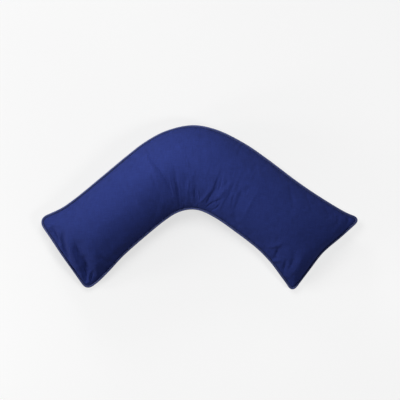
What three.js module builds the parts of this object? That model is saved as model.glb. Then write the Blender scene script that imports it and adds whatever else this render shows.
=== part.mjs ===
// V-shaped neck pillow: a filled cotton cover with corded piping in its seam, lying on its back.
// Millimetres. X runs along the span, from the left arm's end to the right arm's, Y from the crook
// between the arms to the top of the bend, and Z up from the surface that the pillow lies on.
import * as THREE from "three";

// Piping and seam
const pipingDiameter = 5;
const pipingSides = 8;
const pipingGap = 0.3; // from the piping to the cover's edge
const seamThickness = 3; // of the two panels' edges, turned in and stitched together

// Filling
const panelSlope = THREE.MathUtils.degToRad(66); // of a full panel where it leaves the seam
const settleSoftness = 11; // height over which the underside eases into its flat resting patch
const creaseFade = 20; // height of the filling under which a crease dies away towards the seam
const acrossSteps = 22; // strips of faces from seam to seam
const acrossCrowding = 0.5; // 0 spaces the strips evenly, 1 crowds them hard towards the seams

// Sections across the pillow, from the left end to the right end. A row gives where the section meets
// the outer and the inner seam, the height of each seam there, how far the top panel crowns above the
// line between the seams and the back panel bellies below it, and the strips of faces to the next row.
const sections = [
  { outer: [-406, -31.5], inner: [-287.5, -205.5], lifts: [24, 12], crown: 46, belly: 54, steps: 6 },
  { outer: [-371.5, -17.5], inner: [-261, -185.5], lifts: [33, 19], crown: 50, belly: 56, steps: 4 },
  { outer: [-343.5, -4], inner: [-232.5, -157.5], lifts: [38, 26], crown: 54, belly: 59, steps: 5 },
  { outer: [-308, 21], inner: [-197.5, -120], lifts: [42, 33], crown: 58, belly: 62, steps: 5 },
  { outer: [-245.5, 72], inner: [-137, -66.5], lifts: [45, 38], crown: 60, belly: 64, steps: 5 },
  { outer: [-183.5, 123.5], inner: [-90, -28.5], lifts: [46, 43], crown: 63, belly: 66, steps: 6 },
  { outer: [-136, 160], inner: [-63, -11], lifts: [46, 50], crown: 65, belly: 66, steps: 11 },
  { outer: [-84, 188], inner: [-38, -2], lifts: [46, 56], crown: 65, belly: 66, steps: 13 },
  { outer: [-18, 202.5], inner: [-14, 0], lifts: [46, 60], crown: 64.5, belly: 66, steps: 12 },
  { outer: [40, 192], inner: [9, -5], lifts: [45, 62], crown: 64, belly: 66, steps: 13 },
  { outer: [112, 157], inner: [46, -24], lifts: [43, 60], crown: 63, belly: 66, steps: 9 },
  { outer: [168.5, 118.5], inner: [91, -55.5], lifts: [42, 54], crown: 62, belly: 66, steps: 6 },
  { outer: [240, 64.5], inner: [148, -99.5], lifts: [42, 45], crown: 60, belly: 64, steps: 5 },
  { outer: [284, 34], inner: [183, -135], lifts: [42, 37], crown: 58, belly: 62, steps: 5 },
  { outer: [338.5, 0], inner: [212, -173.5], lifts: [38, 28], crown: 55, belly: 60, steps: 5 },
  { outer: [371, -18], inner: [226.5, -193], lifts: [32, 19], crown: 50, belly: 57, steps: 4 },
  { outer: [402.5, -30.5], inner: [237, -210], lifts: [26, 14], crown: 46, belly: 54, steps: 0 },
];

// The seams across the two ends, at a quarter, half and three quarters of the way from the outer to
// the inner corner: how far each is drawn in towards the bend and how high it lies. The rise is how
// far from the end the filling reaches its full height.
const ends = {
  left: { drawnIn: [1.5, 1.5, 1.5], lifts: [32, 36, 28], rise: 80 },
  right: { drawnIn: [6.5, 14, 8], lifts: [34, 38, 30], rise: 64 },
};

// Corners: how far from the pattern's sharp corner the seam starts to turn.
const cornerReach = { leftOuter: 26, leftInner: 17, rightOuter: 15, rightInner: 15 };

// Creases of the top panel, seen from above, each on a curve from one end to the other by way of a
// middle point. Depth is positive for a trough and negative for a ridge, and width is its half width.
const creases = [
  { from: [-126, 121], via: [-100, 79], to: [-74, 35], depth: -2, width: 7 },
  { from: [-113, 121], via: [-88, 81], to: [-65, 42], depth: 1.5, width: 6 },
  { from: [-61, 97], via: [-51, 42], to: [-42, 0], depth: 3, width: 5.5 },
  { from: [-19, 92], via: [-20, 52], to: [-18, 8], depth: -1, width: 6 },
  { from: [-8, 62], via: [-8, 35], to: [-6, 8], depth: 2, width: 5.5 },
  { from: [52, 84], via: [42, 45], to: [22, 0], depth: 3.5, width: 5.5 },
  { from: [76, 68], via: [68, 43], to: [47, 13], depth: -1.5, width: 6 },
  { from: [15, -2], via: [35, 8], to: [57, 23], depth: 2.5, width: 5.5 },
  { from: [107, 67], via: [88, 30], to: [74, -25], depth: -1.5, width: 6 },
  { from: [149, 42], via: [120, -2], to: [99, -47], depth: -1.5, width: 8 },
  { from: [-187, 52], via: [-170, 9], to: [-152, -38], depth: 2, width: 12 },
  { from: [-372, -46], via: [-360, -69], to: [-352, -96], depth: 4.5, width: 6 },
  { from: [-347, -50], via: [-338, -98], to: [-326, -141], depth: 9, width: 8 },
  { from: [-334, -58], via: [-321, -108], to: [-305, -156], depth: -5, width: 8 },
  { from: [-313, -73], via: [-294, -123], to: [-276, -180], depth: 15, width: 11 },
  { from: [-287, -87], via: [-262, -135], to: [-242, -167], depth: -2, width: 10 },
  { from: [-266, -156], via: [-272, -171], to: [-276, -189], depth: 4, width: 6 },
  { from: [168, -108], via: [194, -97], to: [217, -83], depth: -2, width: 6 },
  { from: [202, -92], via: [196, -112], to: [189, -134], depth: 3, width: 6 },
  { from: [216, -124], via: [217, -150], to: [214, -176], depth: 4, width: 7 },
  { from: [262, -118], via: [246, -150], to: [234, -186], depth: -4, width: 8 },
  { from: [374, 0], via: [382, -32], to: [366, -66], depth: 5, width: 11 },
];

const navy = 0x232f6b;
const pipingNavy = 0x2b3060;

// Height of an arc-shaped panel over its chord, as a share of its middle height, at q from -1 to 1.
function arch(q) {
  const rise = Math.sqrt(1 - (Math.sin(panelSlope) * q) ** 2) - Math.cos(panelSlope);
  return rise / (1 - Math.cos(panelSlope));
}

// A height above the floor, or 0 where it would lie below, eased so that the two join smoothly.
function settled(height) {
  if (height <= -settleSoftness) return 0;
  if (height >= settleSoftness) return height;
  return (height + settleSoftness) ** 2 / (4 * settleSoftness);
}

// A value that runs through one column of the sections, eased from row to row.
function columnCurve(valueOf) {
  const values = sections.map((row) => new THREE.Vector3(valueOf(row), 0, 0));
  return new THREE.CatmullRomCurve3(values, false, "catmullrom", 0.5);
}

function seamCurve(side, liftColumn) {
  const points = sections.map((row) => new THREE.Vector3(...row[side], row.lifts[liftColumn]));
  return new THREE.CatmullRomCurve3(points, false, "centripetal");
}

const outerSeam = seamCurve("outer", 0);
const innerSeam = seamCurve("inner", 1);
const crownCurve = columnCurve((row) => row.crown);
const bellyCurve = columnCurve((row) => row.belly);

// An end's seam from the outer to the inner corner, drawn in towards the bend on its way.
function endSeam(along, { drawnIn, lifts }) {
  const outer = outerSeam.getPoint(along);
  const inner = innerSeam.getPoint(along);
  const inwards = new THREE.Vector3(outer.y - inner.y, inner.x - outer.x, 0).normalize();
  if (along > 0.5) inwards.negate();
  const between = drawnIn.map((distance, quarter) => {
    const share = (quarter + 1) / (drawnIn.length + 1);
    const point = outer.clone().lerp(inner, share).addScaledVector(inwards, distance);
    return point.setZ(lifts[quarter]);
  });
  return new THREE.CatmullRomCurve3([outer, ...between, inner], false, "centripetal");
}

const leftSeam = endSeam(0, ends.left);
const rightSeam = endSeam(1, ends.right);

// The point of a seam at a straight distance from one of its ends, 0 or 1, found by halving.
function pointFromEnd(seam, end, distance) {
  const tip = seam.getPoint(end);
  let near = 0;
  let far = 0.5;
  for (let halving = 0; halving < 40; halving++) {
    const middle = (near + far) / 2;
    const reached = seam.getPoint(Math.abs(end - middle)).distanceTo(tip);
    if (reached < distance) near = middle;
    else far = middle;
  }
  return seam.getPoint(Math.abs(end - near));
}

// The turn that rounds off a corner, from the reach on the end's seam to the reach on the long seam.
function cornerTurn(longSeam, longEnd, crossSeam, crossEnd, reach) {
  const corner = longSeam.getPoint(longEnd);
  const onLong = pointFromEnd(longSeam, longEnd, reach);
  const onCross = pointFromEnd(crossSeam, crossEnd, reach);
  return { corner, reach, curve: new THREE.QuadraticBezierCurve3(onCross, corner, onLong) };
}

const turns = {
  leftOuter: cornerTurn(outerSeam, 0, leftSeam, 0, cornerReach.leftOuter),
  leftInner: cornerTurn(innerSeam, 0, leftSeam, 1, cornerReach.leftInner),
  rightOuter: cornerTurn(outerSeam, 1, rightSeam, 0, cornerReach.rightOuter),
  rightInner: cornerTurn(innerSeam, 1, rightSeam, 1, cornerReach.rightInner),
};

// A seam with the corners at its two ends rounded off: it holds its own half of each turn, which is
// the later half on a long seam, and the earlier half on an end's seam.
function roundedSeam(seam, seamTurns, half) {
  return (share) => {
    const point = seam.getPoint(share);
    for (const { corner, reach, curve } of seamTurns) {
      const distance = point.distanceTo(corner);
      if (distance < reach) return curve.getPoint(0.5 + (half * distance) / reach);
    }
    return point;
  };
}

const outerEdge = roundedSeam(outerSeam, [turns.leftOuter, turns.rightOuter], 0.5);
const innerEdge = roundedSeam(innerSeam, [turns.leftInner, turns.rightInner], 0.5);
const leftEdge = roundedSeam(leftSeam, [turns.leftOuter, turns.leftInner], -0.5);
const rightEdge = roundedSeam(rightSeam, [turns.rightOuter, turns.rightInner], -0.5);

// Distance from an end's seam, taken at mid-width, as a share of the filling's rise, up to 1.
function endShare(along, end, rise) {
  const middleAt = (station) => outerSeam.getPoint(station).lerp(innerSeam.getPoint(station), 0.5);
  const way = middleAt(along).sub(middleAt(end)).setZ(0);
  return Math.min(way.length() / rise, 1);
}

// Share of the full filling at a station along: 0 at an end's seam, 1 past its rise.
function fullness(along) {
  const left = arch(1 - endShare(along, 0, ends.left.rise));
  const right = arch(1 - endShare(along, 1, ends.right.rise));
  return left * right;
}

// The sheet that the seam spans, between the two panels: ruled from the outer to the inner seam, and
// led onto each end's seam over the length in which the filling rises.
function seamSheet(along, across) {
  const point = outerEdge(along).lerp(innerEdge(along), across);
  const pullTo = (edge, end, rise) => {
    const pull = edge(across).sub(edge(0).lerp(edge(1), across));
    point.addScaledVector(pull, (1 - endShare(along, end, rise)) ** 2);
  };
  pullTo(leftEdge, 0, ends.left.rise);
  pullTo(rightEdge, 1, ends.right.rise);
  return point;
}

// Stations along the pillow, from 0 at the left end to 1 at the right, evenly spread inside each row.
function stationsAlong() {
  const gaps = sections.length - 1;
  const stations = [];
  sections.slice(0, -1).forEach(({ steps }, row) => {
    for (let step = 0; step < steps; step++) stations.push((row + step / steps) / gaps);
  });
  return [...stations, 1];
}

// Stations across the pillow, from 0 at the outer seam to 1 at the inner, closer near the seams.
function stationsAcross() {
  return Array.from({ length: acrossSteps + 1 }, (_, step) => {
    const even = step / acrossSteps;
    const crowded = 0.5 - 0.5 * Math.cos(Math.PI * even);
    return THREE.MathUtils.lerp(even, crowded, acrossCrowding);
  });
}

const creaseCurves = creases.map(({ from, via, to, depth, width }) => {
  const middle = new THREE.Vector2(...via).multiplyScalar(2);
  const start = new THREE.Vector2(...from);
  const end = new THREE.Vector2(...to);
  const control = middle.addScaledVector(start, -0.5).addScaledVector(end, -0.5);
  const curve = new THREE.QuadraticBezierCurve(start, control, end);
  return { path: curve.getPoints(30), depth, width };
});

// How far the creases lower the top panel at a place seen from above. Each dies away at its ends.
function creaseDepth(x, y) {
  const place = new THREE.Vector2(x, y);
  return creaseCurves.reduce((sum, { path, depth, width }) => {
    const distances = path.map((point) => point.distanceTo(place));
    const nearest = Math.min(...distances);
    const share = distances.indexOf(nearest) / (path.length - 1);
    const taper = Math.sin(Math.PI * share) ** 0.7;
    return sum + depth * taper * Math.exp(-((nearest / width) ** 2));
  }, 0);
}

// A point of the top panel: the filling's crown over the seam's sheet, lowered by the creases.
function topPoint(along, share) {
  const point = seamSheet(along, share);
  const filling = crownCurve.getPoint(along).x * fullness(along) * arch(2 * share - 1);
  const crease = creaseDepth(point.x, point.y) * Math.min(1, filling / creaseFade);
  return point.setZ(point.z + seamThickness / 2 + Math.max(0, filling - crease));
}

// A point of the back panel: the belly under the seam's sheet, flat where it rests.
function backPoint(along, share) {
  const point = seamSheet(along, share);
  const filling = bellyCurve.getPoint(along).x * fullness(along) * arch(2 * share - 1);
  return point.setZ(settled(point.z - seamThickness / 2 - filling));
}

// The cover: both panels over one grid of stations, joined round the edge by the seam's thickness.
function coverGeometry(stations, across) {
  const panel = (pointOf) =>
    stations.flatMap((along) => across.flatMap((share) => pointOf(along, share).toArray()));
  const positions = [...panel(topPoint), ...panel(backPoint)];
  const columns = across.length;
  const back = stations.length * columns;
  const faces = [];
  const quad = (a, b, c, d) => faces.push(a, b, c, a, c, d);
  for (let row = 0; row < stations.length - 1; row++) {
    for (let column = 0; column < columns - 1; column++) {
      const near = row * columns + column;
      const far = near + columns;
      quad(near, near + 1, far + 1, far);
      quad(back + near, back + far, back + far + 1, back + near + 1);
    }
  }
  const rim = rimLoop(stations.length, columns);
  rim.forEach((vertex, index) => {
    const next = rim[(index + 1) % rim.length];
    quad(vertex, next, back + next, back + vertex);
  });
  return closedGeometry(positions, faces);
}

// The grid's edge as one loop of vertices, clockwise seen from above.
function rimLoop(rows, columns) {
  const loop = [];
  for (let row = 0; row < rows - 1; row++) loop.push(row * columns);
  for (let column = 0; column < columns - 1; column++) loop.push((rows - 1) * columns + column);
  for (let row = rows - 1; row > 0; row--) loop.push(row * columns + columns - 1);
  for (let column = columns - 1; column > 0; column--) loop.push(column);
  return loop;
}

function closedGeometry(positions, faces) {
  const geometry = new THREE.BufferGeometry();
  geometry.setAttribute("position", new THREE.Float32BufferAttribute(positions, 3));
  geometry.setIndex(faces);
  geometry.computeVertexNormals();
  return geometry;
}

// The piping: a ring of round sections that follows the cover's edge just outside it.
function pipingGeometry(stations, across) {
  const columns = across.length;
  const seam = rimLoop(stations.length, columns).map((vertex) =>
    seamSheet(stations[Math.floor(vertex / columns)], across[vertex % columns]),
  );
  const radius = pipingDiameter / 2;
  const positions = [];
  seam.forEach((point, index) => {
    const before = seam[(index + seam.length - 1) % seam.length];
    const after = seam[(index + 1) % seam.length];
    const { outwards, stretch } = mitre(before, point, after);
    for (let side = 0; side < pipingSides; side++) {
      const angle = (2 * Math.PI * side) / pipingSides;
      const reach = (radius + pipingGap + radius * Math.cos(angle)) * stretch;
      positions.push(
        point.x + outwards.x * reach,
        point.y + outwards.y * reach,
        point.z + radius * Math.sin(angle),
      );
    }
  });
  const faces = [];
  for (let ring = 0; ring < seam.length; ring++) {
    const nextRing = (ring + 1) % seam.length;
    for (let side = 0; side < pipingSides; side++) {
      const nextSide = (side + 1) % pipingSides;
      const a = ring * pipingSides + side;
      const b = nextRing * pipingSides + side;
      const c = nextRing * pipingSides + nextSide;
      const d = ring * pipingSides + nextSide;
      faces.push(a, c, b, a, d, c);
    }
  }
  return closedGeometry(positions, faces);
}

// At a vertex of the clockwise seam: the direction away from the cover, halfway between its two
// edges' own, and how much longer an offset is along it.
function mitre(before, point, after) {
  const leftOf = (from, to) => new THREE.Vector2(from.y - to.y, to.x - from.x).normalize();
  const arriving = leftOf(before, point);
  const leaving = leftOf(point, after);
  const outwards = arriving.clone().add(leaving).normalize();
  return { outwards, stretch: 1 / outwards.dot(leaving) };
}

function part(name, geometry, color, roughness) {
  const material = new THREE.MeshStandardMaterial({ color, roughness, metalness: 0 });
  const mesh = new THREE.Mesh(geometry, material);
  mesh.name = name;
  return mesh;
}

const stations = stationsAlong();
const across = stationsAcross();
const pillow = new THREE.Group();
pillow.add(part("pillow_cover", coverGeometry(stations, across), navy, 0.8));
pillow.add(part("piping", pipingGeometry(stations, across), pipingNavy, 0.75));

// The origin is the middle of the resting surface under the whole pillow.
const size = new THREE.Box3().setFromObject(pillow);
const middle = size.getCenter(new THREE.Vector3());
pillow.position.set(-middle.x, -middle.y, -size.min.z);

export default pillow;
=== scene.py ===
import math
import random

import bpy
import numpy as np
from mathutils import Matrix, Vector, kdtree, noise


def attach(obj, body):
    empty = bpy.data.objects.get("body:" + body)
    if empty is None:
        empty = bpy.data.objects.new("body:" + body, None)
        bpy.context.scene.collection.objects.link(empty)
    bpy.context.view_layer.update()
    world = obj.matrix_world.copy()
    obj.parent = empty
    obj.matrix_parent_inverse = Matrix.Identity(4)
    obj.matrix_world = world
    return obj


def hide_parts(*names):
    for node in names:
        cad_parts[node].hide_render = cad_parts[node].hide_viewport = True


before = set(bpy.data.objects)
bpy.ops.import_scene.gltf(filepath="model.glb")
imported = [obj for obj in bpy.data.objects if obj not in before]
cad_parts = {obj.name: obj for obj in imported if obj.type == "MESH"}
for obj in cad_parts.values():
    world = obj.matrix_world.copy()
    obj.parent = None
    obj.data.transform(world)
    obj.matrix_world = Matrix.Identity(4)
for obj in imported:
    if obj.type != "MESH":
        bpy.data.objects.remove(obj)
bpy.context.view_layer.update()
mm = 0.001
print("frame loaded")


# Small helpers that every piece uses

def makeActive(piece):
    bpy.ops.object.select_all(action="DESELECT")
    piece.select_set(True)
    bpy.context.view_layer.objects.active = piece


def applyModifier(piece, kind, **settings):
    modifier = piece.modifiers.new(kind.lower(), kind)
    for name, value in settings.items():
        setattr(modifier, name, value)
    makeActive(piece)
    bpy.ops.object.modifier_apply(modifier=modifier.name)


def copyOfNode(nodeName, pieceName):
    # the node's loose triangles, merged and turned back into four-sided faces
    piece = bpy.data.objects.new(pieceName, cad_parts[nodeName].data.copy())
    bpy.context.scene.collection.objects.link(piece)
    piece.data.materials.clear()
    makeActive(piece)
    bpy.ops.object.mode_set(mode="EDIT")
    bpy.ops.mesh.select_all(action="SELECT")
    bpy.ops.mesh.remove_doubles(threshold=0.01 * mm)
    bpy.ops.mesh.tris_convert_to_quads(face_threshold=math.pi, shape_threshold=math.pi)
    bpy.ops.object.mode_set(mode="OBJECT")
    return piece


def readPoints(piece, what="co"):
    values = np.empty(len(piece.data.vertices) * 3)
    piece.data.vertices.foreach_get(what, values)
    return values.reshape(-1, 3)


def writePoints(piece, points):
    piece.data.vertices.foreach_set("co", points.ravel())
    piece.data.update()


# Where the camera hangs, straight above. The folds of the cover are placed as it sees them

studio = {
    "middle": (1.4 * mm, 19.7 * mm),   # under the middle of the picture
    "seenWidth": 1011 * mm,            # at the seam's height
    "seamHeight": 42 * mm,
    "cameraDistance": 2.6,
}


# Piping: the covered cord that is caught in the seam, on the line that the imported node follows

piping = {
    "radius": 2.5 * mm,
    "sides": 20,                  # round the cord
    "stepsPerRing": 5,            # along the cord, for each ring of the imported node
    "flange": 1.3 * mm,           # how far its seam allowance shows in the groove
    "flangeThickness": 1.1 * mm,
    # small slanting gathers of the bias strip
    "gatherPitch": 5.2 * mm,
    "gatherDepth": 0.3 * mm,
    "gatherSlant": 1.2,           # pitches along the cord for one turn round it
    "gatherMiddle": 0.6,          # the share of the depth at which the cord keeps its radius
    "patchLength": 3,             # pitches, over which the gathers change
    "patchShift": 1.5,            # pitches, by which they are moved along
    "patchDepth": (0.55, 0.9),    # their least depth and what a patch adds, in shares
}


def pipingLine():
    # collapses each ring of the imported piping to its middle, and lays a smooth curve through the middles
    ring = copyOfNode("piping", "pipingLine")
    points = readPoints(ring)

    def steepness(edge):
        way = points[edge.vertices[1]] - points[edge.vertices[0]]
        return abs(way[2]) / np.linalg.norm(way)

    bpy.ops.object.mode_set(mode="EDIT")
    bpy.ops.mesh.select_mode(type="EDGE")
    bpy.ops.mesh.select_all(action="DESELECT")
    bpy.ops.object.mode_set(mode="OBJECT")
    # the steepest edge goes round the cord and not along it, so it picks one of the rings
    max(ring.data.edges, key=steepness).select = True
    bpy.ops.object.mode_set(mode="EDIT")
    bpy.ops.mesh.loop_multi_select(ring=True)
    bpy.ops.mesh.loop_multi_select(ring=False)
    bpy.ops.mesh.merge(type="COLLAPSE")
    bpy.ops.mesh.select_mode(type="VERT")
    bpy.ops.object.mode_set(mode="OBJECT")
    bpy.ops.object.convert(target="CURVE")
    bpy.ops.object.mode_set(mode="EDIT")
    bpy.ops.curve.select_all(action="SELECT")
    bpy.ops.curve.spline_type_set(type="BEZIER")
    bpy.ops.curve.handle_type_set(type="AUTOMATIC")
    bpy.ops.object.mode_set(mode="OBJECT")
    ring.data.resolution_u = piping["stepsPerRing"]
    ring.data.twist_mode = "Z_UP"
    return ring


def linePoints(curve):
    # the curve's own points, in order
    evaluated = curve.evaluated_get(bpy.context.evaluated_depsgraph_get())
    mesh = bpy.data.meshes.new_from_object(evaluated)
    points = np.array([vertex.co for vertex in mesh.vertices])
    bpy.data.meshes.remove(mesh)
    return points


pipingCurve = pipingLine()
seamPoints = linePoints(pipingCurve)
seamSteps = np.linalg.norm(np.roll(seamPoints, -1, axis=0) - seamPoints, axis=1)
seamAlong = np.concatenate([[0], np.cumsum(seamSteps)[:-1]])
seamLength = float(seamSteps.sum())
x, y = seamPoints[:, 0], seamPoints[:, 1]
runsLeft = float(np.sum(x * np.roll(y, -1) - np.roll(x, -1) * y)) > 0  # anticlockwise, seen from above
print(f"seam {seamLength:.3f} m round, {len(seamPoints)} points")


def pipingProfile():
    # a circle with the folded seam allowance as a short flat tail towards the cover
    radius = piping["radius"]
    inwards = -1 if runsLeft else 1
    half = piping["flangeThickness"] / 2
    start = math.asin(half / radius)
    turns = piping["sides"] - 1
    angles = [start + (2 * math.pi - 2 * start) * step / turns for step in range(turns + 1)]
    outline = [(inwards * radius * math.cos(angle), radius * math.sin(angle)) for angle in angles]
    reach = inwards * (radius + piping["flange"])
    outline += [(reach, -half), (reach, half)]
    data = bpy.data.curves.new("pipingProfile", "CURVE")
    spline = data.splines.new("POLY")
    spline.points.add(len(outline) - 1)
    for point, (across, up) in zip(spline.points, outline):
        point.co = (across, up, 0, 1)
    spline.use_cyclic_u = True
    profile = bpy.data.objects.new("pipingProfile", data)
    bpy.context.scene.collection.objects.link(profile)
    return profile


def wrapStrip(piece, sides):
    # the bias strip round the cord: its uv map in metres, and the small slanting gathers that it forms
    rings = len(piece.data.vertices) // sides
    ring, side = np.divmod(np.arange(rings * sides), sides)
    along, turn = ring * seamLength / rings, side / sides
    places = along[::sides] / piping["gatherPitch"] / piping["patchLength"]
    patches = np.array([noise.noise(Vector((place, 0, 0))) for place in places])
    otherPatches = np.roll(patches, rings // 3)
    shift = np.repeat(patches, sides) * piping["patchShift"]
    phase = along / piping["gatherPitch"] + shift + turn * piping["gatherSlant"]
    least, added = piping["patchDepth"]
    depth = piping["gatherDepth"] * (least + added * np.abs(np.repeat(otherPatches, sides)))
    gathers = depth * (np.abs(np.sin(math.pi * phase)) - piping["gatherMiddle"])
    writePoints(piece, readPoints(piece) + readPoints(piece, "normal") * gathers[:, None])
    corners = np.empty(len(piece.data.loops), dtype=int)
    piece.data.loops.foreach_get("vertex_index", corners)
    along, turn = along[corners].reshape(-1, 4), turn[corners].reshape(-1, 4)
    along += seamLength * (along < along.max(axis=1, keepdims=True) - seamLength / 2)
    turn += turn < turn.max(axis=1, keepdims=True) - 0.5
    around = turn * 2 * math.pi * piping["radius"]
    layer = piece.data.uv_layers.new(name="strip")
    layer.data.foreach_set("uv", np.stack([along, around], axis=-1).ravel())


def makePiping():
    profile = pipingProfile()
    sides = len(profile.data.splines[0].points)
    pipingCurve.data.bevel_mode = "OBJECT"
    pipingCurve.data.bevel_object = profile
    makeActive(pipingCurve)
    bpy.ops.object.convert(target="MESH")
    bpy.data.objects.remove(profile)
    piece = bpy.context.view_layer.objects.active
    piece.name = "pipingCord"
    bpy.ops.object.mode_set(mode="EDIT")
    bpy.ops.mesh.select_all(action="SELECT")
    bpy.ops.mesh.normals_make_consistent(inside=False)
    bpy.ops.object.mode_set(mode="OBJECT")
    bpy.ops.object.shade_smooth()
    wrapStrip(piece, sides)
    print("piping", len(piece.data.polygons), "faces")
    return piece


# Cover: the two panels, sewn together and filled

cover = {
    # the rim, where the panels meet, has faces that point no more than this up or down
    "rimUpright": 0.05,
    # filling: a short cloth simulation under pressure
    "growth": 0.008,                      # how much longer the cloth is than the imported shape
    "pressure": 4.0,
    "bending": 0.4,
    "frames": 20,
    "mostMoved": 3 * mm,
    # each fold or crease is a trough or ridge along a bowed line
    "foldSteps": 33,                      # points along the line
    "foldReach": 2.6,                     # widths, how far from the line it still presses
    "foldTaper": 0.7,                     # below 1, more of the depth is kept towards the ends
    # faint short creases all over, most of them pointing at the crook
    "creases": 420,
    "creaseSeed": 11,
    "creaseLength": (14 * mm, 60 * mm),
    "creaseDepth": (0.1 * mm, 0.5 * mm),
    "creaseWidth": (1.8 * mm, 5 * mm),
    "creaseBow": 0.25,                    # of half the length
    "creaseStray": (0.15, 2),             # radians off that way at the crook, and more for each metre
    "crook": (-5 * mm, -60 * mm),
    # short gathers along the seam
    "gatherSeed": 7,
    "gatherPitch": (7 * mm, 15 * mm),     # between one gather and the next
    "gatherDepth": (0.25 * mm, 0.9 * mm),
    "gatherKinds": (1, 1, -0.7),          # two troughs for each ridge
    "gatherReach": (9 * mm, 24 * mm),     # in from the seam
    "gatherLean": 0.5,
    "gatherWidth": 0.3,                   # of the pitch
    # at the top of the bend the filling swells over the groove beside the piping
    "swollenLine": ((-185 * mm, 122 * mm), (-105 * mm, 184 * mm), (20 * mm, 208 * mm)),
    "swollenWidth": 16 * mm,
    "swollenHeight": 2 * mm,
    "swollenReach": 9 * mm,               # in from the piping
    # lumps of the fibre filling, from broad to small
    "lumpSizes": (85 * mm, 38 * mm, 14 * mm),
    "lumpHeights": (1.0 * mm, 0.6 * mm, 0.3 * mm),
    # where relief fades in: by how far the cloth faces up, off the seam and off the floor
    "fadeUp": (0.05, 0.35),
    "fadeSeam": (1.5 * mm, 7 * mm),
    "fadeGathers": (0, 4 * mm),
    "fadeFloor": (0, 12 * mm),
    # painted shade: the cloth is darker down beside the piping, where the groove is in shadow
    "paintedShadeReach": 6 * mm,
}

# start, middle and end of each fold as the camera sees it, depth (minus for a ridge) and width, in mm
coverFolds = [
    # bend
    ((-125, 126), (-97, 83), (-65, 27), 2.9, 2.8),
    ((-130, 123), (-113, 88), (-93, 45), -2.2, 3.4),
    ((-76, 80), (-70, 52), (-63, 24), -1.5, 2.6),
    ((-63, 77), (-56, 41), (-49, 1), 3.3, 2.4),
    ((-57, 85), (-50, 49), (-45, 11), -1.6, 2.6),
    ((-38, 84), (-38, 64), (-37, 44), 0.7, 2.6),
    ((-26, 76), (-28, 56), (-31, 36), -1.3, 3),
    ((-25, 44), (-23, 31), (-22, 14), 0.4, 2.6),
    ((-12, 51), (-12, 36), (-13, 18), 1.7, 2.4),
    ((-5, 49), (-2, 31), (-1, 14), -1.8, 2.4),
    ((27, 48), (12, 25), (-16, 2), -1.6, 3),
    ((47, 81), (42, 63), (36, 46), 1.2, 2.2),
    ((41, 53), (29, 30), (16, 7), 3.8, 4),
    ((55, 84), (50, 66), (45, 43), -1.1, 2.2),
    ((56, 71), (53, 56), (47, 41), 1.3, 2),
    ((64, 94), (61, 74), (54, 51), -0.3, 2.4),
    ((67, 57), (57, 37), (36, 14), -1.7, 5),
    ((15, -3), (31, 11), (59, 22), 2.4, 2.2),
    ((27, -7), (41, -2), (52, 10), 2.0, 2),
    ((42, 21), (46, 10), (45, -2), 1.8, 2.2),
    ((64, 23), (57, 10), (52, -5), -1.0, 2.6),
    ((80, 48), (74, 30), (62, 12), 0.8, 2.6),
    ((75, 70), (68, 55), (62, 40), 1.0, 6),
    ((105, 70), (99, 52), (93, 35), 1.0, 6),
    ((93, 61), (83, 36), (73, 0), -0.8, 2.6),
    ((98, 48), (85, 20), (80, -17), 0.8, 2.8),
    ((149, 42), (129, 10), (106, -38), -1.0, 3.4),
    ((-178, 32), (-160, 4), (-142, -34), 0.9, 3),
    ((-145, 19), (-128, 7), (-107, -1), 1.0, 4),
    ((-139, 148), (-132, 131), (-126, 110), -2.2, 4),
    ((-120, 83), (-113, 62), (-105, 42), 1.3, 3.5),
    ((-185, 62), (-179, 50), (-173, 37), 1.3, 2.8),
    ((-197, 50), (-187, 37), (-178, 25), 1.0, 3),
    ((-170, 30), (-162, 17), (-155, -1), 1.4, 2.8),
    ((-173, 40), (-165, 30), (-158, 17), -0.6, 2.6),
    # left end
    ((-375, -46), (-365, -69), (-353, -94), 6.5, 4.5),
    ((-357, -55), (-354, -77), (-348, -100), -1.2, 3),
    ((-346, -60), (-343, -95), (-328, -132), 4.8, 4),
    ((-338, -67), (-330, -97), (-321, -135), -2.2, 4),
    ((-310, -90), (-309, -123), (-299, -158), 2.6, 4.5),
    ((-294, -120), (-288, -152), (-280, -188), 5.5, 8),
    ((-296, -148), (-291, -168), (-285, -190), 6.0, 5),
    ((-266, -138), (-261, -158), (-259, -178), -1.5, 4),
    ((-268, -106), (-258, -129), (-250, -152), -1.8, 8),
    ((-269, -159), (-272, -172), (-275, -192), 3.0, 2.6),
    ((-278, -161), (-279, -173), (-280, -186), -1.6, 2),
    # right end
    ((170, -97), (193, -97), (214, -86), -1.8, 3),
    ((157, -101), (180, -105), (203, -102), 1.0, 3),
    ((200, -101), (196, -114), (190, -132), 2.6, 3.5),
    ((177, -126), (187, -128), (198, -125), 1.4, 2.2),
    ((177, -135), (192, -134), (208, -131), -2.0, 2.6),
    ((179, -140), (195, -142), (210, -139), 1.2, 3),
    ((220, -131), (215, -148), (209, -169), 3.2, 3.8),
    ((236, -131), (232, -144), (224, -159), 2.2, 3),
    ((258, -131), (253, -160), (242, -193), -1.6, 6),
    ((242, -106), (237, -135), (228, -163), 2.6, 8),
    ((369, 4), (377, -24), (372, -58), 2.2, 4),
    # broad soft dents
    ((68, 160), (116, 132), (164, 94), 3.0, 20),
    ((-5, 216), (8, 200), (13, 180), 2.0, 8),
    ((354, 3), (291, -73), (223, -138), 5.0, 32),
    ((387, -22), (311, -95), (266, -153), -1.5, 16),
    ((-172, -62), (-215, -105), (-255, -146), -3.0, 12),
    ((-205, 26), (-126, 84), (-28, 125), -4.0, 36),
]


def seamPlaces(points):
    # for each point, how far from the piping it lies, and how far along the seam
    tree = kdtree.KDTree(len(seamPoints))
    for index, point in enumerate(seamPoints):
        tree.insert(point, index)
    tree.balance()
    found = [tree.find(point) for point in points]
    nearest = np.array([index for _, index, _ in found])
    distance = np.array([away for _, _, away in found]) - piping["radius"]
    return np.maximum(distance, 0), seamAlong[nearest]


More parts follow.
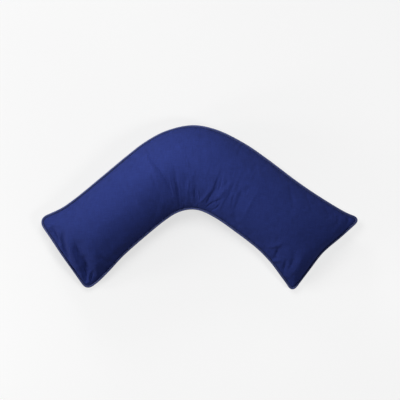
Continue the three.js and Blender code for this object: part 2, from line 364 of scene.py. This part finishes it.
def markRim(piece):
    # the narrow upright faces round the edge, where the panels are sewn together
    upright = [abs(face.normal.z) < cover["rimUpright"] for face in piece.data.polygons]
    bpy.ops.object.mode_set(mode="EDIT")
    bpy.ops.mesh.select_mode(type="FACE")
    bpy.ops.mesh.select_all(action="DESELECT")
    bpy.ops.object.mode_set(mode="OBJECT")
    for face, isUpright in zip(piece.data.polygons, upright):
        face.select = isUpright
    bpy.ops.object.mode_set(mode="EDIT")
    bpy.ops.object.vertex_group_add()
    bpy.ops.object.vertex_group_assign()
    piece.vertex_groups.active.name = "rim"
    bpy.ops.mesh.region_to_loop()
    bpy.ops.mesh.mark_seam()
    bpy.ops.mesh.select_all(action="SELECT")
    bpy.ops.uv.unwrap(method="ANGLE_BASED", margin=0.002)
    bpy.ops.object.mode_set(mode="OBJECT")
    return sum(upright)


def scaleUvToSize(piece):
    # the panels as they were cut, in metres
    mesh = piece.data
    layer = mesh.uv_layers.active.data
    cut, sewn = 0.0, 0.0
    for face in mesh.polygons:
        corners = [layer[index].uv for index in face.loop_indices]
        first = corners[0]
        for second, third in zip(corners[1:], corners[2:]):
            cut += abs((second - first).cross(third - first)) / 2
        sewn += face.area
    values = np.empty(len(mesh.loops) * 2)
    layer.foreach_get("uv", values)
    layer.foreach_set("uv", values * math.sqrt(sewn / cut))


def fillWithCloth(piece):
    start = readPoints(piece)
    modifier = piece.modifiers.new("cloth", "CLOTH")
    cloth = modifier.settings
    cloth.use_pressure = True
    cloth.uniform_pressure_force = cover["pressure"]
    cloth.effector_weights.gravity = 0
    cloth.shrink_min = -cover["growth"]
    cloth.bending_stiffness = cover["bending"]
    cloth.vertex_group_mass = "rim"
    modifier.point_cache.frame_end = cover["frames"]
    scene = bpy.context.scene
    for number in range(1, cover["frames"] + 1):
        scene.frame_set(number)
    makeActive(piece)
    bpy.ops.object.modifier_apply(modifier=modifier.name)
    scene.frame_set(1)
    moved = readPoints(piece) - start
    length = np.linalg.norm(moved, axis=1)
    print(f"cloth moved {length.mean() / mm:.1f} mm in the mean, {length.max() / mm:.1f} mm at most")
    most = cover["mostMoved"]
    capped = most * np.tanh(length / most)
    tiny = 1e-9    # so that nothing is divided by zero where a point stayed in place
    points = start + moved * (capped / np.maximum(length, tiny))[:, None]
    points[:, 2] = np.maximum(points[:, 2], 0)
    writePoints(piece, points)


def smoothStep(values, low, high):
    part = np.clip((values - low) / (high - low), 0, 1)
    return part * part * (3 - 2 * part)


def foldPush(seen, start, middle, end, depth, width):
    # how far in one fold presses each point: deepest along its own line, and tapering at both ends
    bow = 2 * middle - (start + end) / 2
    along = np.linspace(0, 1, cover["foldSteps"])[:, None]
    line = (1 - along) ** 2 * start + 2 * along * (1 - along) * bow + along ** 2 * end
    reach = cover["foldReach"] * width
    near = np.all((seen > line.min(axis=0) - reach) & (seen < line.max(axis=0) + reach), axis=1)
    away = np.linalg.norm(seen[near][:, None, :] - line[None, :, :], axis=2)
    closest = away.argmin(axis=1)
    taper = np.sin(math.pi * np.clip(along[closest, 0], 0, 1)) ** cover["foldTaper"]
    push = np.zeros(len(seen))
    push[near] = depth * taper * np.exp(-(away.min(axis=1) / width) ** 2)
    return push


def namedFoldsPush(seen):
    push = np.zeros(len(seen))
    for start, middle, end, depth, width in coverFolds:
        line = [np.array(place) * mm for place in (start, middle, end)]
        push += foldPush(seen, *line, depth * mm, width * mm)
    return push


def faintCreasesPush(seen):
    dice = random.Random(cover["creaseSeed"])
    crook = np.array(cover["crook"])
    stray, strayPerMetre = cover["creaseStray"]
    push = np.zeros(len(seen))
    for _ in range(cover["creases"]):
        middle = seen[dice.randrange(len(seen))]
        towards = crook - middle
        away = np.linalg.norm(towards)
        turn = math.atan2(towards[1], towards[0]) + dice.gauss(0, stray + strayPerMetre * away)
        half = np.array([math.cos(turn), math.sin(turn)]) * dice.uniform(*cover["creaseLength"]) / 2
        bow = np.array([-half[1], half[0]]) * dice.uniform(-cover["creaseBow"], cover["creaseBow"])
        depth = dice.uniform(*cover["creaseDepth"]) * dice.choice((1, -1))
        width = dice.uniform(*cover["creaseWidth"])
        push += foldPush(seen, middle - half, middle + bow, middle + half, depth, width)
    return push


def gatherPush(along, distance):
    # short gathers that run in from the seam, no two alike
    dice = random.Random(cover["gatherSeed"])
    push = np.zeros(len(along))
    place = 0.0
    while place < seamLength - cover["gatherPitch"][0]:
        pitch = dice.uniform(*cover["gatherPitch"])
        depth = dice.uniform(*cover["gatherDepth"]) * dice.choice(cover["gatherKinds"])
        reach = dice.uniform(*cover["gatherReach"])
        lean = dice.uniform(-cover["gatherLean"], cover["gatherLean"])
        off = (along - place - lean * distance + seamLength / 2) % seamLength - seamLength / 2
        near = (np.abs(off) < pitch) & (distance < reach)
        across = np.exp(-(off[near] / (cover["gatherWidth"] * pitch)) ** 2)
        push[near] += depth * across * np.sin(math.pi * np.sqrt(distance[near] / reach))
        place += pitch
    return push


def asSeen(points):
    # where the camera sees each point, at the seam's height
    height = points[:, 2] - studio["seamHeight"]
    middle = np.array(studio["middle"])
    towardsCamera = (studio["cameraDistance"] / (studio["cameraDistance"] - height))[:, None]
    return middle + (points[:, :2] - middle) * towardsCamera


def swollenShare(seen):
    # 1 along the swollen edge, and 0 away from it
    line = [np.array(place) for place in cover["swollenLine"]]
    return foldPush(seen, *line, 1, cover["swollenWidth"])


def shapeCloth(piece):
    points = readPoints(piece)
    normals = readPoints(piece, "normal")
    distance, along = seamPlaces(points)
    seen = asSeen(points)
    onTop = smoothStep(normals[:, 2], *cover["fadeUp"])
    offSeam = smoothStep(distance, *cover["fadeSeam"])
    offFloor = smoothStep(points[:, 2], *cover["fadeFloor"])
    push = namedFoldsPush(seen) * onTop * offSeam
    push += faintCreasesPush(seen) * offSeam
    push += gatherPush(along, distance) * smoothStep(distance, *cover["fadeGathers"])
    swell = np.sin(math.pi * np.clip(distance / cover["swollenReach"], 0, 1))
    push -= cover["swollenHeight"] * swollenShare(seen) * swell
    for size, height in zip(cover["lumpSizes"], cover["lumpHeights"]):
        lumps = np.array([noise.noise(Vector(point / size)) for point in points])
        push += height * lumps * offSeam
    writePoints(piece, points - normals * (push * offFloor)[:, None])
    print(f"folds press in {push.max() / mm:.1f} mm at most")


def markPaintedSeamShade(piece):
    # for the material, the mask of the painted shade: 1 beside the piping, 0 from the shade's reach on and
    # where the edge is swollen
    points = readPoints(piece)
    distance, _ = seamPlaces(points)
    near = (1 - smoothStep(distance, 0, cover["paintedShadeReach"])) * (1 - swollenShare(asSeen(points)))
    layer = piece.data.attributes.new("paintedShadeMask", "FLOAT", "POINT")
    layer.data.foreach_set("value", near)


def makeCover():
    piece = copyOfNode("pillow_cover", "cover")
    print("rim faces", markRim(piece))
    scaleUvToSize(piece)
    applyModifier(piece, "SUBSURF", levels=1, render_levels=1)
    fillWithCloth(piece)
    applyModifier(piece, "SUBSURF", levels=1, render_levels=1)
    bpy.ops.object.shade_smooth()
    shapeCloth(piece)
    markPaintedSeamShade(piece)
    print("cover", len(piece.data.polygons), "faces")
    return piece


# Materials: one plain-woven cotton for both, cut straight for the panels and on the bias for the strip

cotton = {
    # thick places: how often they come across a yarn and along it, in a metre
    "slubsAcross": 600,
    "slubsAlong": 45,
    "thinnestYarn": 0.3,     # height left at a thin place
    # tone: of the gaps between the yarns, and what a yarn's top, a thick place and the dye change; the
    # darker gaps and lighter tops are painted shade
    "gapShadeTone": 0.9,
    "yarnShadeTone": 0.25,
    "slubTone": 0.3,
    "dyeScale": 55,
    "dyeDetail": 4,
    "dyeRoughness": 0.75,
    "bumpStrength": 0.5,
}


def addNode(tree, kind, **settings):
    node = tree.nodes.new(kind)
    for name, value in settings.items():
        setattr(node, name, value)
    return node


def calculate(tree, operation, *values):
    node = addNode(tree, "ShaderNodeMath", operation=operation)
    for socket, value in zip(node.inputs, values):
        if isinstance(value, bpy.types.NodeSocket):
            tree.links.new(value, socket)
        else:
            socket.default_value = value
    return node.outputs[0]


def wovenCottonGroup():
    # over-and-under yarns with thick places, painted shade down between the yarns, and a soft unevenness
    # of the dye
    group = bpy.data.node_groups.new("wovenCotton", "ShaderNodeTree")
    inputs = {"Place": "Vector", "Turned": "Float", "Yarn Pitch": "Float", "Unevenness": "Float"}
    for name, kind in inputs.items():
        group.interface.new_socket(name, in_out="INPUT", socket_type="NodeSocket" + kind)
    for name in ("Tone", "Height"):
        group.interface.new_socket(name, in_out="OUTPUT", socket_type="NodeSocketFloat")
    given = group.nodes.new("NodeGroupInput")
    result = group.nodes.new("NodeGroupOutput")
    turned = addNode(group, "ShaderNodeVectorRotate", rotation_type="Z_AXIS")
    group.links.new(given.outputs["Place"], turned.inputs["Vector"])
    group.links.new(given.outputs["Turned"], turned.inputs["Angle"])
    apart = group.nodes.new("ShaderNodeSeparateXYZ")
    group.links.new(turned.outputs["Vector"], apart.inputs["Vector"])
    warp = calculate(group, "DIVIDE", apart.outputs["X"], given.outputs["Yarn Pitch"])
    weft = calculate(group, "DIVIDE", apart.outputs["Y"], given.outputs["Yarn Pitch"])

    def thickPlaces(perMetreX, perMetreY):
        # noise drawn out along one yarn
        stretched = addNode(group, "ShaderNodeVectorMath", operation="MULTIPLY")
        group.links.new(turned.outputs["Vector"], stretched.inputs[0])
        stretched.inputs[1].default_value = (perMetreX, perMetreY, 1)
        slubs = addNode(group, "ShaderNodeTexNoise", noise_dimensions="2D")
        slubs.inputs["Scale"].default_value = 1
        slubs.inputs["Detail"].default_value = 1
        group.links.new(stretched.outputs["Vector"], slubs.inputs["Vector"])
        return slubs.outputs["Fac"]

    def yarnHeight(yarn, shown, slubs):
        # round across the yarn, and hidden where it passes under the other
        wave = calculate(group, "SINE", calculate(group, "MULTIPLY", yarn, math.pi))
        rounded = calculate(group, "MULTIPLY", calculate(group, "ABSOLUTE", wave), shown)
        thickness = calculate(group, "ADD", slubs, cotton["thinnestYarn"])
        return calculate(group, "MULTIPLY", rounded, thickness)

    warpSlubs = thickPlaces(cotton["slubsAcross"], cotton["slubsAlong"])
    weftSlubs = thickPlaces(cotton["slubsAlong"], cotton["slubsAcross"])
    crossing = calculate(group, "ADD", calculate(group, "FLOOR", warp), calculate(group, "FLOOR", weft))
    warpOver = calculate(group, "FLOORED_MODULO", crossing, 2)
    weftOver = calculate(group, "SUBTRACT", 1, warpOver)
    warpHeight = yarnHeight(warp, warpOver, warpSlubs)
    weftHeight = yarnHeight(weft, weftOver, weftSlubs)
    height = calculate(group, "ADD", warpHeight, weftHeight)
    dye = addNode(group, "ShaderNodeTexNoise", noise_dimensions="3D")
    dye.inputs["Scale"].default_value = cotton["dyeScale"]
    dye.inputs["Detail"].default_value = cotton["dyeDetail"]
    dye.inputs["Roughness"].default_value = cotton["dyeRoughness"]
    group.links.new(given.outputs["Place"], dye.inputs["Vector"])
    dyePatch = calculate(group, "SUBTRACT", dye.outputs["Fac"], 0.5)
    dyeTone = calculate(group, "MULTIPLY", dyePatch, given.outputs["Unevenness"])
    bothSlubs = calculate(group, "SUBTRACT", calculate(group, "ADD", warpSlubs, weftSlubs), 1)
    slubTone = calculate(group, "MULTIPLY", bothSlubs, cotton["slubTone"])
    # painted shade: the tone follows the yarns' height, darker down in the gaps
    yarnShadeTone = calculate(group, "MULTIPLY_ADD", height, cotton["yarnShadeTone"], cotton["gapShadeTone"])
    tone = calculate(group, "ADD", yarnShadeTone, calculate(group, "ADD", dyeTone, slubTone))
    group.links.new(tone, result.inputs["Tone"])
    group.links.new(height, result.inputs["Height"])
    return group


wovenCotton = wovenCottonGroup()


def clothMaterial(name, look):
    material = bpy.data.materials.new(name)
    material.use_nodes = True
    tree = material.node_tree
    shader = tree.nodes["Principled BSDF"]
    shader.inputs["Roughness"].default_value = look["roughness"]
    shader.inputs["Specular IOR Level"].default_value = look["specular"]
    uv = addNode(tree, "ShaderNodeUVMap", uv_map=look["uvMap"])
    weave = addNode(tree, "ShaderNodeGroup", node_tree=wovenCotton)
    tree.links.new(uv.outputs["UV"], weave.inputs["Place"])
    weave.inputs["Turned"].default_value = math.radians(look["turned"])
    weave.inputs["Yarn Pitch"].default_value = look["yarnPitch"]
    weave.inputs["Unevenness"].default_value = look["unevenness"]
    # painted shade: the cloth is made darker beside the piping
    paintedShadeMask = addNode(tree, "ShaderNodeAttribute", attribute_name="paintedShadeMask")
    shade = calculate(tree, "MULTIPLY_ADD", paintedShadeMask.outputs["Fac"], -look["paintedSeamShade"], 1)
    dyed = addNode(tree, "ShaderNodeVectorMath", operation="SCALE")
    dyed.inputs[0].default_value = look["colour"]
    tree.links.new(calculate(tree, "MULTIPLY", weave.outputs["Tone"], shade), dyed.inputs["Scale"])
    tree.links.new(dyed.outputs["Vector"], shader.inputs["Base Color"])
    bump = addNode(tree, "ShaderNodeBump")
    bump.inputs["Strength"].default_value = cotton["bumpStrength"]
    bump.inputs["Distance"].default_value = look["yarnHeight"]
    tree.links.new(weave.outputs["Height"], bump.inputs["Height"])
    tree.links.new(bump.outputs["Normal"], shader.inputs["Normal"])
    return material


coverLook = {
    "colour": (0.0140, 0.0240, 0.126),
    "roughness": 0.9,
    "specular": 0.12,
    "uvMap": "UVMap",
    "turned": 4,                 # degrees off the thread
    "yarnPitch": 0.5 * mm,
    "yarnHeight": 0.12 * mm,
    "unevenness": 0.3,           # of the dye
    # painted shade: how much darker the cloth is beside the piping, in the groove's shadow
    "paintedSeamShade": 0.33,           # how much darker the cloth is beside the piping
}
pipingLook = {
    "colour": (0.036, 0.048, 0.150),
    "roughness": 0.75,
    "specular": 0.3,
    "uvMap": "strip",
    "turned": 45,
    "yarnPitch": 0.5 * mm,
    "yarnHeight": 0.12 * mm,
    "unevenness": 0.2,
    "paintedSeamShade": 0,
}

pipingPiece = makePiping()
coverPiece = makeCover()
coverPiece.data.materials.append(clothMaterial("coverCotton", coverLook))
pipingPiece.data.materials.append(clothMaterial("pipingCotton", pipingLook))

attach(coverPiece, "root")
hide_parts("pillow_cover")
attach(pipingPiece, "root")
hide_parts("piping")
print("pieces dressed")


# Studio: the camera straight above, a pale floor, one near soft light and four farther ones

floorLook = {
    "size": 12,
    "colour": 0.24,
    "roughness": 0.9,
    "glow": 0.743,                     # as the camera sees it
    "glowOnPillow": 0.2,               # how much of that reaches the pillow
    "poolMiddle": (-0.173, 0.287),     # where the near light's pool lies
    "poolReach": 0.843,
    "poolLight": 0.148,                # what the near light adds in its middle, taken off the glow there
}

lightsMiddle = (0, 0, 0.05)
# round that middle: which way a light stands and how high, in degrees, its distance, width and power
lights = {
    "nearLight": (115, 60, 0.8, 0.45, 5.07),
    "topLight": (112.5, 15, 2.0, 0.45, 18.3),
    "leftLight": (180, 15, 2.0, 0.45, 14.7),
    "lowLeftLight": (202.5, 15, 2.0, 0.45, 13.4),
    "rightLight": (337.5, 45, 2.0, 0.45, 12.5),
}


def makeCamera():
    data = bpy.data.cameras.new("camera")
    camera = bpy.data.objects.new("camera", data)
    bpy.context.scene.collection.objects.link(camera)
    data.lens = data.sensor_width * studio["cameraDistance"] / studio["seenWidth"]
    camera.location = (*studio["middle"], studio["seamHeight"] + studio["cameraDistance"])
    bpy.context.scene.camera = camera


def makeFloor():
    # it glows for the camera, but less in the near light's pool, so it is evenly pale with faint shadows
    bpy.ops.mesh.primitive_plane_add(size=floorLook["size"], location=(0, 0, 0))
    floor = bpy.context.view_layer.objects.active
    floor.name = "floor"
    material = bpy.data.materials.new("floor")
    material.use_nodes = True
    shader = material.node_tree.nodes["Principled BSDF"]
    shader.inputs["Base Color"].default_value = (*[floorLook["colour"]] * 3, 1)
    shader.inputs["Roughness"].default_value = floorLook["roughness"]
    shader.inputs["Specular IOR Level"].default_value = 0
    shader.inputs["Emission Color"].default_value = (1, 1, 1, 1)
    tree = material.node_tree
    place = tree.nodes.new("ShaderNodeTexCoord")
    away = addNode(tree, "ShaderNodeVectorMath", operation="DISTANCE")
    tree.links.new(place.outputs["Object"], away.inputs[0])
    away.inputs[1].default_value = (*floorLook["poolMiddle"], 0)
    glow = addNode(tree, "ShaderNodeMapRange", interpolation_type="SMOOTHSTEP")
    tree.links.new(away.outputs["Value"], glow.inputs["Value"])
    glow.inputs["From Max"].default_value = floorLook["poolReach"]
    glow.inputs["To Min"].default_value = floorLook["glow"] - floorLook["poolLight"]
    glow.inputs["To Max"].default_value = floorLook["glow"]
    seen = tree.nodes.new("ShaderNodeLightPath").outputs["Is Camera Ray"]
    share = calculate(tree, "MAXIMUM", seen, floorLook["glowOnPillow"])
    strength = calculate(tree, "MULTIPLY", glow.outputs["Result"], share)
    tree.links.new(strength, shader.inputs["Emission Strength"])
    floor.data.materials.append(material)


def makeLights():
    scene = bpy.context.scene
    scene.view_settings.view_transform = "Standard"
    for name, (way, height, distance, width, power) in lights.items():
        data = bpy.data.lights.new(name, "AREA")
        data.shape = "DISK"
        data.size = width
        data.energy = power
        light = bpy.data.objects.new(name, data)
        scene.collection.objects.link(light)
        way, height = math.radians(way), math.radians(height)
        flat = math.cos(height)
        direction = Vector((math.cos(way) * flat, math.sin(way) * flat, math.sin(height)))
        light.location = direction * distance + Vector(lightsMiddle)
        light.rotation_euler = (-light.location).to_track_quat("-Z", "Y").to_euler()
    world = bpy.data.worlds.new("studio")
    scene.world = world
    world.use_nodes = True
    world.node_tree.nodes["Background"].inputs["Color"].default_value = (1, 1, 1, 1)
    tree = world.node_tree
    seen = tree.nodes.new("ShaderNodeLightPath").outputs["Is Camera Ray"]
    tree.links.new(seen, tree.nodes["Background"].inputs["Strength"])


makeCamera()
makeFloor()
makeLights()
print(f"studio set, {len(lights)} lights")
